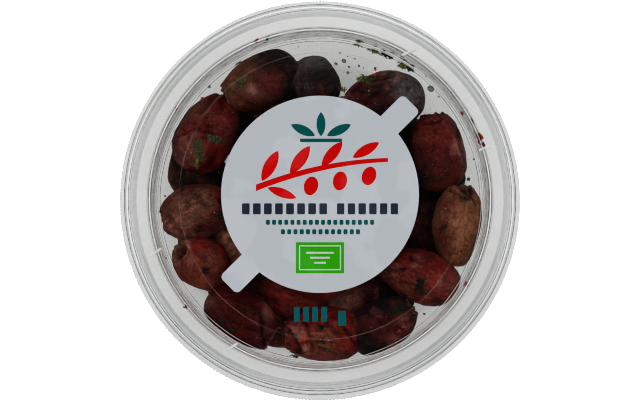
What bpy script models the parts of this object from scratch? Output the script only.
"""A shut round tub of pitted olives: clear cup, press-on lid, heap of olives and a round film label.

Metres, +Z up. The origin is on the table, under the middle of the tub. The front of the label
reads towards -Y, so that seen from above its top edge is on the +Y side.
"""
import math
import random

import bpy
import bmesh
from mathutils import Matrix, Vector, noise
from mathutils.bvhtree import BVHTree

MM = 0.001
SEED = 7

# Driving dimensions in millimetres
LID_RADIUS = 59.0
HEIGHT = 38.0
RECESS_DEPTH = 5.4
LID_WALL = 0.5
TUB_WALL = 0.6
BASE_RADIUS = 42.6
DRAFT = 0.182
FIT_GAP = 0.3
TURN_STEPS = 48
SHORTEST_EDGE = 0.005
LID_ARC_STEPS = 2
TUB_ARC_STEPS = 1

# Heights and radii that follow from them
PANEL_TOP = HEIGHT - RECESS_DEPTH
PANEL_UNDERSIDE = PANEL_TOP - LID_WALL
RIM_TOP = HEIGHT - LID_WALL - 2 * FIT_GAP
RIM_RADIUS = LID_RADIUS - 1.6
RECESS_RADIUS = 50.6
PANEL_RADIUS = 47.3
FOOT_HEIGHT = 3.0
FOOT_RADIUS = BASE_RADIUS + 3.0
SHOULDER_HEIGHT = RIM_TOP - 4.6
BASE_RISE = 0.8

# The label: a clear round film with a pale printed field on it
FILM_RADIUS = 42.4
FILM_SIDES = 48
FILM_CENTRE = (0.9, 1.3)
FIELD_RADIUS = 29.1
FIELD_CENTRE = (0.0, 1.7)
TAB_REACH = 38.1
TAB_WIDTH = 7.3
TAB_CORNER = 1.5
TAB_HEADINGS = (45, 225)
FILM_THICKNESS = 0.3
FIELD_THICKNESS = 0.2
FIELD_ROOT = 0.25

# The pull marks: two opposite sectors of the recess edge, each between two short ribs
MARK_SECTORS = ((18.2, 58.3), (197.2, 238.5))
RIB_RADIUS = 0.35

# The heap
HEAP_FLOOR = BASE_RISE + TUB_WALL + FIT_GAP
HEAP_CEILING = PANEL_UNDERSIDE - 0.6
FLAKE_CEILING = PANEL_UNDERSIDE - FIT_GAP
WALL_CLEARANCE = 0.5
FLAKE_THICKNESS = 1.6
CORE_RADIUS = 28.0
CORE_HALF_HEIGHT = 11.5
OLIVE_SIDES = 9
OLIVE_RINGS = 7
SKIN_RELIEF = 0.035
PIT_DEPTH = 0.3

# Olives seen from above: x and y, heading, pitch of the pitted end, length and width
TOP_OLIVES = (
    (-17.9, 35.6, 204, 4, 24.8, 16.8),
    (-0.4, 33.2, 95, -38, 21.5, 14.4),
    (18.9, 29.8, 152, 5, 25.2, 16.2),
    (34.9, 14.9, 96, 4, 23.6, 17.8),
    (40.8, -6.9, 86, 8, 24.8, 14.6),
    (29.7, -22.3, 162, -4, 24.8, 15.8),
    (18.6, -36.8, 32, 12, 21.5, 16.0),
    (0.9, -39.6, 180, 2, 24.6, 15.8),
    (-22.9, -34.8, -35, 2, 24.0, 16.4),
    (-34.6, -18.6, 160, 10, 21.0, 15.4),
    (-37.0, -3.2, 196, 6, 21.6, 17.0),
    (-33.7, 20.2, 62, -3, 24.6, 17.6),
    (16.0, 9.0, 70, 8, 23.0, 15.6),
    (14.5, -12.5, 20, -6, 23.5, 15.8),
    (-3.5, -20.0, 150, -8, 23.0, 15.4),
    (-17.5, -7.5, 100, 4, 23.5, 16.0),
    (-14.5, 13.0, 40, -5, 23.0, 15.6),
    (1.0, 1.0, 10, 3, 22.5, 15.4),
    (2.0, 19.5, 170, -8, 22.5, 15.4),
)

# Lower olives that show between them: x and y, heading, height of the middle, length and width
LOWER_OLIVES = (
    (-38.4, 9.6, 100, 15.5, 21.0, 14.6),
    (-22.6, 24.4, 40, 13.5, 22.5, 15.4),
    (-26.0, -13.0, 80, 14.0, 23.0, 15.6),
    (-8.2, -27.4, 170, 14.5, 22.5, 15.2),
    (9.6, -27.6, 20, 13.5, 22.5, 15.2),
    (30.6, -3.6, 95, 13.0, 22.5, 15.4),
    (9.6, 26.2, 160, 11.5, 22.0, 14.8),
)

# The ring of olives on the base, which leaves the bare stretch of wall behind the label's top free
RING_COUNT = 12
RING_START = -14
RING_RADIUS = 36.4
RING_HEIGHT = HEAP_FLOOR + 9.0
RING_LENGTH = 20.5
RING_WIDTH = 15.8
BARE_HEADINGS = (52, 88)

# Herb flakes that show from a step away: x and y, heading, length
FLAKES = (
    (-23.8, 35.2, 80, 4.6),
    (-36.2, 14.0, 75, 6.4),
    (-31.0, 18.4, 150, 3.6),
    (13.6, 35.0, 10, 4.6),
    (41.6, 1.4, 60, 3.6),
    (37.6, -7.8, 40, 3.0),
    (29.8, -25.4, 120, 4.4),
    (-29.0, -35.6, 130, 4.6),
    (-33.2, -20.9, 30, 4.0),
    (0.8, -37.8, 60, 3.4),
    (2.4, -43.4, 80, 3.2),
    (14.8, -41.6, 90, 3.6),
)


def clear_scene():
    for obj in list(bpy.data.objects):
        bpy.data.objects.remove(obj, do_unlink=True)


def new_collection(name):
    collection = bpy.data.collections.new(name)
    bpy.context.scene.collection.children.link(collection)
    return collection


def plain_material(name, colour, roughness, alpha=1.0):
    material = bpy.data.materials.new(name)
    material.use_nodes = True
    shader = material.node_tree.nodes["Principled BSDF"]
    shader.inputs["Base Color"].default_value = (*colour, 1.0)
    shader.inputs["Roughness"].default_value = roughness
    shader.inputs["Metallic"].default_value = 0.0
    shader.inputs["Alpha"].default_value = alpha
    return material


def add_object(name, mesh, collection, material=None):
    obj = bpy.data.objects.new(name, mesh)
    collection.objects.link(obj)
    if material:
        mesh.materials.append(material)
    return obj


def mesh_from(bm, name):
    """A mesh of triangles, so that a union never meets a bent four-sided face."""
    bmesh.ops.triangulate(bm, faces=bm.faces)
    mesh = bpy.data.meshes.new(name)
    bm.to_mesh(mesh)
    bm.free()
    return mesh


def evaluated_copy(obj, name, collection, material=None):
    """A plain mesh object of what the modifiers of obj make, in place of obj."""
    depsgraph = bpy.context.evaluated_depsgraph_get()
    mesh = bpy.data.meshes.new_from_object(obj.evaluated_get(depsgraph))
    mesh.materials.clear()
    place = obj.matrix_world.copy()
    bpy.data.objects.remove(obj, do_unlink=True)
    copy = add_object(name, mesh, collection, material)
    copy.matrix_world = place
    return copy


def weld(obj, distance=1e-6):
    bm = bmesh.new()
    bm.from_mesh(obj.data)
    bmesh.ops.remove_doubles(bm, verts=bm.verts, dist=distance)
    bmesh.ops.recalc_face_normals(bm, faces=bm.faces)
    bm.to_mesh(obj.data)
    bm.free()


def shade_round(obj, angle=35):
    obj.data.shade_smooth()
    obj.data.set_sharp_from_angle(angle=math.radians(angle))


def rounded_profile(corners, arc_steps):
    """Points of a line through (radius, height, fillet) corners, with an arc at each fillet."""
    points = []
    for index, (radius, height, fillet) in enumerate(corners):
        here = Vector((radius, height))
        if not fillet:
            points.append(here)
            continue
        back = (Vector(corners[index - 1][:2]) - here).normalized()
        ahead = (Vector(corners[index + 1][:2]) - here).normalized()
        half = back.angle(ahead) / 2
        start = here + back * fillet / math.tan(half)
        end = here + ahead * fillet / math.tan(half)
        centre = here + (back + ahead).normalized() * fillet / math.sin(half)
        for step in range(arc_steps + 1):
            spoke = start.lerp(end, step / arc_steps) - centre
            points.append(centre + spoke.normalized() * fillet)
    return points


def turned_shell(name, corners, wall, arc_steps, collection, material):
    """A thin shell: the profile is turned about Z and thickened on its inner side."""
    points = rounded_profile(corners, arc_steps)
    mesh = bpy.data.meshes.new(name)
    edges = [(i, i + 1) for i in range(len(points) - 1)]
    mesh.from_pydata([(p.x * MM, 0.0, p.y * MM) for p in points], edges, [])
    obj = add_object(name, mesh, collection, material)
    turn = obj.modifiers.new("Turn", "SCREW")
    turn.axis = "Z"
    turn.angle = math.tau
    turn.steps = TURN_STEPS
    turn.render_steps = TURN_STEPS
    turn.use_merge_vertices = True
    turn.merge_threshold = 0.00001
    shell = obj.modifiers.new("Wall", "SOLIDIFY")
    shell.thickness = wall * MM
    shell.offset = -1.0
    shell.use_even_offset = True
    return obj


def wall_outside(height):
    """Outer radius of the tapered wall of the cup at a height."""
    return FOOT_RADIUS + DRAFT * (height - FOOT_HEIGHT)


def make_tub(collection):
    """The cup: turned-down rim, flange, stacking shoulder, tapered wall and raised base."""
    lip = RIM_RADIUS - TUB_WALL
    flange = RIM_TOP - TUB_WALL
    neck = wall_outside(SHOULDER_HEIGHT) + 1.0
    corners = (
        (lip, flange - 2.6, 0),
        (lip, flange, 0.5),
        (neck, flange, 0.7),
        (neck - 0.2, SHOULDER_HEIGHT, 0.5),
        (wall_outside(SHOULDER_HEIGHT - 1.0), SHOULDER_HEIGHT - 1.0, 0.7),
        (wall_outside(FOOT_HEIGHT), FOOT_HEIGHT, 0),
        (FOOT_RADIUS - 0.8, 1.0, 0),
        (BASE_RADIUS, 0.0, 0),
        (BASE_RADIUS - 4.0, 0.0, 0),
        (BASE_RADIUS - 5.2, BASE_RISE, 0),
        (0.0, BASE_RISE, 0),
    )
    material = plain_material("clear_tub", (0.86, 0.88, 0.88), 0.08, 0.3)
    obj = turned_shell("tub", corners, TUB_WALL, TUB_ARC_STEPS, collection, material)
    shade_round(obj)
    return obj


def bead(name, points, radius, collection):
    """A round rib along points in millimetres, as a closed mesh."""
    curve = bpy.data.curves.new(name, "CURVE")
    curve.dimensions = "3D"
    curve.bevel_depth = radius * MM
    curve.bevel_resolution = 1
    curve.use_fill_caps = True
    spline = curve.splines.new("POLY")
    spline.points.add(len(points) - 1)
    for point, place in zip(spline.points, points):
        point.co = (*(c * MM for c in place), 1.0)
    obj = bpy.data.objects.new(name, curve)
    collection.objects.link(obj)
    rib = evaluated_copy(obj, name, collection)
    weld(rib)
    return rib


def polar(radius, degrees, height):
    angle = math.radians(degrees)
    return (radius * math.cos(angle), radius * math.sin(angle), height)


def make_marks(collection):
    """Ribs of the pull marks: an arc along each sector and a short spoke at each of its ends."""
    edge = RECESS_RADIUS + 0.9
    height = HEIGHT - 0.46
    for number, (first, last) in enumerate(MARK_SECTORS):
        steps = 10
        arc = [polar(edge, first + (last - first) * i / steps, height) for i in range(steps + 1)]
        bead(f"mark_arc_{number}", arc, RIB_RADIUS, collection)
        for side, degrees in enumerate((first, last)):
            spoke = [polar(edge - 0.3, degrees, height), polar(edge + 2.0, degrees, height)]
            bead(f"mark_spoke_{number}_{side}", spoke, RIB_RADIUS * 1.3, collection)


def make_lid(collection, cutters):
    """The press-on lid: recessed panel, stepped recess wall, top ring, shoulder, skirt and flare."""
    skirt = LID_RADIUS - 1.0
    corners = (
        (0.0, PANEL_TOP, 0),
        (PANEL_RADIUS - 0.3, PANEL_TOP, 0.6),
        (RECESS_RADIUS - 1.0, HEIGHT - 2.0, 0),
        (RECESS_RADIUS - 0.3, HEIGHT - 1.5, 0),
        (RECESS_RADIUS + 0.3, HEIGHT - 0.2, 0.7),
        (54.2, HEIGHT - 0.2, 0),
        (54.5, HEIGHT, 0),
        (55.9, HEIGHT, 0),
        (56.3, HEIGHT - 0.3, 0),
        (skirt, HEIGHT - 0.5, 1.1),
        (skirt, HEIGHT - 5.2, 0),
        (LID_RADIUS, HEIGHT - 5.5, 0),
    )
    material = plain_material("clear_lid", (0.88, 0.9, 0.9), 0.06, 0.3)
    obj = turned_shell("lid", corners, LID_WALL, LID_ARC_STEPS, collection, material)
    make_marks(cutters)
    join = obj.modifiers.new("Marks", "BOOLEAN")
    join.operation = "UNION"
    join.operand_type = "COLLECTION"
    join.collection = cutters
    join.solver = "EXACT"
    lid = evaluated_copy(obj, "lid", collection, material)
    for rib in list(cutters.objects):
        bpy.data.objects.remove(rib, do_unlink=True)
    keep_main_shell(lid)
    shade_round(lid)
    return lid


def field_outline():
    """The printed field's edge: a disc with two opposite round-cornered tabs."""
    half = TAB_WIDTH / 2
    root = math.asin(half / FIELD_RADIUS)
    points = []
    arc_steps = 20
    corner_steps = 4
    for number, heading in enumerate(TAB_HEADINGS):
        phi = math.radians(heading)
        local = [(FIELD_RADIUS * math.cos(root), -half)]
        for side in (-1, 1):
            for step in range(corner_steps + 1):
                turn = (step / corner_steps) * math.pi / 2
                turn = turn - math.pi / 2 if side < 0 else turn
                u = TAB_REACH - TAB_CORNER + TAB_CORNER * math.cos(turn)
                v = side * (half - TAB_CORNER) + TAB_CORNER * math.sin(turn)
                local.append((u, v))
        local.append((FIELD_RADIUS * math.cos(root), half))
        for u, v in local:
            points.append((u * math.cos(phi) - v * math.sin(phi), u * math.sin(phi) + v * math.cos(phi)))
        start = phi + root
        end = math.radians(TAB_HEADINGS[(number + 1) % 2]) - root + (math.tau if number else 0.0)
        for step in range(1, arc_steps):
            angle = start + (end - start) * step / arc_steps
            points.append((FIELD_RADIUS * math.cos(angle), FIELD_RADIUS * math.sin(angle)))
    return points


def make_label(collection, cutters):
    """The film label, lying on the lid's panel, with its printed field standing a little proud."""
    film_base = PANEL_TOP + FIT_GAP
    film_top = film_base + FILM_THICKNESS
    bm = bmesh.new()
    middle = Vector((*FILM_CENTRE, (film_base + film_top) / 2)) * MM
    bmesh.ops.create_cone(bm, cap_ends=True, segments=FILM_SIDES, radius1=FILM_RADIUS * MM,
                          radius2=FILM_RADIUS * MM, depth=FILM_THICKNESS * MM, matrix=Matrix.Translation(middle))
    material = plain_material("label_film", (0.8, 0.82, 0.85), 0.45)
    obj = add_object("label", mesh_from(bm, "label"), collection, material)

    curve = bpy.data.curves.new("field", "CURVE")
    curve.dimensions = "2D"
    curve.fill_mode = "BOTH"
    curve.extrude = (FIELD_ROOT + FIELD_THICKNESS) / 2 * MM
    spline = curve.splines.new("POLY")
    outline = field_outline()
    spline.points.add(len(outline) - 1)
    for point, (x, y) in zip(spline.points, outline):
        point.co = (x * MM, y * MM, 0.0, 1.0)
    spline.use_cyclic_u = True
    field_curve = bpy.data.objects.new("field", curve)
    cutters.objects.link(field_curve)
    field_middle = film_top + (FIELD_THICKNESS - FIELD_ROOT) / 2
    field_curve.location = Vector((*FIELD_CENTRE, field_middle)) * MM
    bpy.context.view_layer.update()
    field = evaluated_copy(field_curve, "field", cutters)
    weld(field)

    join = obj.modifiers.new("Field", "BOOLEAN")
    join.operation = "UNION"
    join.object = field
    join.solver = "EXACT"
    label = evaluated_copy(obj, "label", collection, material)
    bpy.data.objects.remove(field, do_unlink=True)
    return label


def inner_radius(height):
    """Free radius inside the cup at a height, less the heap's clearance."""
    return wall_outside(height) - TUB_WALL * 1.03 - WALL_CLEARANCE


def keep_inside(point, ceiling):
    """Presses a point back against the wall, the base or the lid where it would cross them."""
    point.z = min(max(point.z, HEAP_FLOOR), ceiling)
    reach = math.hypot(point.x, point.y)
    if point.z < FOOT_HEIGHT:
        limit = min(inner_radius(FOOT_HEIGHT), BASE_RADIUS - 1.5 + 0.6 * point.z)
    else:
        limit = inner_radius(point.z)
    if reach > limit:
        point.x *= limit / reach
        point.y *= limit / reach
    return point


def olive_shape(length, width, seed):
    """A bmesh olive about the origin: long axis on X, the open pit hole at its +X end."""
    bm = bmesh.new()
    turn = Matrix.Rotation(math.pi / 2, 4, "Y")
    bmesh.ops.create_uvsphere(bm, u_segments=OLIVE_SIDES, v_segments=OLIVE_RINGS, radius=1.0, matrix=turn)
    for vert in bm.verts:
        along = vert.co.x
        across = Vector((0.0, vert.co.y, vert.co.z))
        fullness = (1 - along * along) ** 0.44 / max(across.length, 1e-6) if abs(along) < 0.999 else 0.0
        relief = 1 + SKIN_RELIEF * noise.noise(vert.co * 1.7 + Vector((seed * 3.1, 0, 0))) * 2
        taper = 1 - 0.1 * along
        if along > 0.999:
            along = 1 - PIT_DEPTH
        side = across * fullness * relief * taper * width / 2
        vert.co = Vector((along * length / 2, side.y, side.z))
    return bm


def add_olive(name, place, heading, pitch, length, width, seed, collection, ceiling=HEAP_CEILING):
    bm = olive_shape(length, width, seed)
    turn = Matrix.Rotation(math.radians(heading), 4, "Z") @ Matrix.Rotation(math.radians(-pitch), 4, "Y")
    spin = Matrix.Rotation(seed * 0.7, 4, "X")
    bm.transform(Matrix.Translation(Vector(place)) @ turn @ spin)
    for vert in bm.verts:
        vert.co = keep_inside(vert.co, ceiling) * MM
    return add_object(name, mesh_from(bm, name), collection)


def add_core(collection):
    """The hidden middle of the heap, which every olive that shows is fused to."""
    bm = bmesh.new()
    bmesh.ops.create_uvsphere(bm, u_segments=14, v_segments=8, radius=1.0)
    for vert in bm.verts:
        relief = 1 + 0.05 * noise.noise(vert.co * 2.3)
        middle = HEAP_FLOOR + CORE_HALF_HEIGHT
        vert.co = Vector((vert.co.x * CORE_RADIUS * relief, vert.co.y * CORE_RADIUS * relief,
                          vert.co.z * CORE_HALF_HEIGHT * relief + middle))
        vert.co = keep_inside(vert.co, HEAP_CEILING) * MM
    return add_object("core", mesh_from(bm, "core"), collection)


def add_flakes(collection):
    """Herb flakes, half sunk in whatever olive lies under them."""
    joined = bmesh.new()
    for obj in collection.objects:
        joined.from_mesh(obj.data)
    tree = BVHTree.FromBMesh(joined)
    joined.free()
    for number, (x, y, heading, length) in enumerate(FLAKES):
        hit = tree.ray_cast(Vector((x * MM, y * MM, HEIGHT * MM)), Vector((0, 0, -1)))
        if hit[0] is None:
            continue
        bm = bmesh.new()
        bmesh.ops.create_uvsphere(bm, u_segments=6, v_segments=3, radius=1.0)
        size = Matrix.Diagonal((length / 2, length / 3.4, FLAKE_THICKNESS / 2, 1.0))
        slope = Vector((0, 0, 1)).rotation_difference(hit[1]).to_matrix().to_4x4()
        turn = slope @ Matrix.Rotation(math.radians(heading), 4, "Z")
        bm.transform(Matrix.Translation(hit[0] / MM) @ turn @ size)
        for vert in bm.verts:
            vert.co = keep_inside(vert.co, FLAKE_CEILING) * MM
        add_object(f"flake_{number}", mesh_from(bm, f"flake_{number}"), collection)


def keep_main_shell(obj):
    """Fills sealed hollows and drops loose scraps: only the largest closed shell stays."""
    bm = bmesh.new()
    bm.from_mesh(obj.data)
    bmesh.ops.dissolve_degenerate(bm, edges=bm.edges, dist=SHORTEST_EDGE * MM)
    unseen = set(bm.faces)
    shells = []
    while unseen:
        stack = [unseen.pop()]
        shell = list(stack)
        while stack:
            for edge in stack.pop().edges:
                for face in edge.link_faces:
                    if face in unseen:
                        unseen.remove(face)
                        stack.append(face)
                        shell.append(face)
        volume = sum(f.calc_center_median().dot(f.normal) * f.calc_area() for f in shell) / 3
        shells.append((volume, shell))
    shells.sort(key=lambda entry: entry[0])
    loose = [face for volume, shell in shells[:-1] for face in shell]
    bmesh.ops.delete(bm, geom=loose, context="FACES")
    bmesh.ops.triangulate(bm, faces=bm.faces)
    bm.to_mesh(obj.data)
    bm.free()


def make_olives(collection, pieces):
    """The heap as one solid: core, olives and herb flakes, joined by one union."""
    draw = random.Random(SEED)
    core = add_core(collection)
    for number, (x, y, heading, pitch, length, width) in enumerate(TOP_OLIVES):
        height = HEAP_CEILING - width / 2 + 0.4 - abs(math.sin(math.radians(pitch))) * (length - width) / 2
        add_olive(f"top_{number}", (x, y, height), heading, pitch, length, width, number, pieces)
    for number, (x, y, heading, height, length, width) in enumerate(LOWER_OLIVES):
        pitch = draw.uniform(-8, 8)
        add_olive(f"lower_{number}", (x, y, height), heading, pitch, length, width, 40 + number, pieces)
    for number in range(RING_COUNT):
        bearing = RING_START + number * 360 / RING_COUNT + draw.uniform(-3, 3)
        heading = bearing + 90 + draw.uniform(-35, 35)
        pitch = draw.uniform(-6, 6)
        if BARE_HEADINGS[0] < bearing < BARE_HEADINGS[1]:
            continue
        x, y, height = polar(RING_RADIUS, bearing, RING_HEIGHT)
        add_olive(f"ring_{number}", (x, y, height), heading, pitch, RING_LENGTH, RING_WIDTH, 60 + number, pieces)
    add_flakes(pieces)
    join = core.modifiers.new("Heap", "BOOLEAN")
    join.operation = "UNION"
    join.operand_type = "COLLECTION"
    join.collection = pieces
    join.solver = "MANIFOLD"
    material = plain_material("olive_skin", (0.1, 0.035, 0.028), 0.45)
    heap = evaluated_copy(core, "olives", collection, material)
    for piece in list(pieces.objects):
        bpy.data.objects.remove(piece, do_unlink=True)
    keep_main_shell(heap)
    shade_round(heap, 50)
    return heap


clear_scene()
tub_of_olives = new_collection("tub_of_olives")
rib_pieces = new_collection("rib_pieces")
label_pieces = new_collection("label_pieces")
heap_pieces = new_collection("heap_pieces")
make_tub(tub_of_olives)
make_lid(tub_of_olives, rib_pieces)
make_label(tub_of_olives, label_pieces)
make_olives(tub_of_olives, heap_pieces)
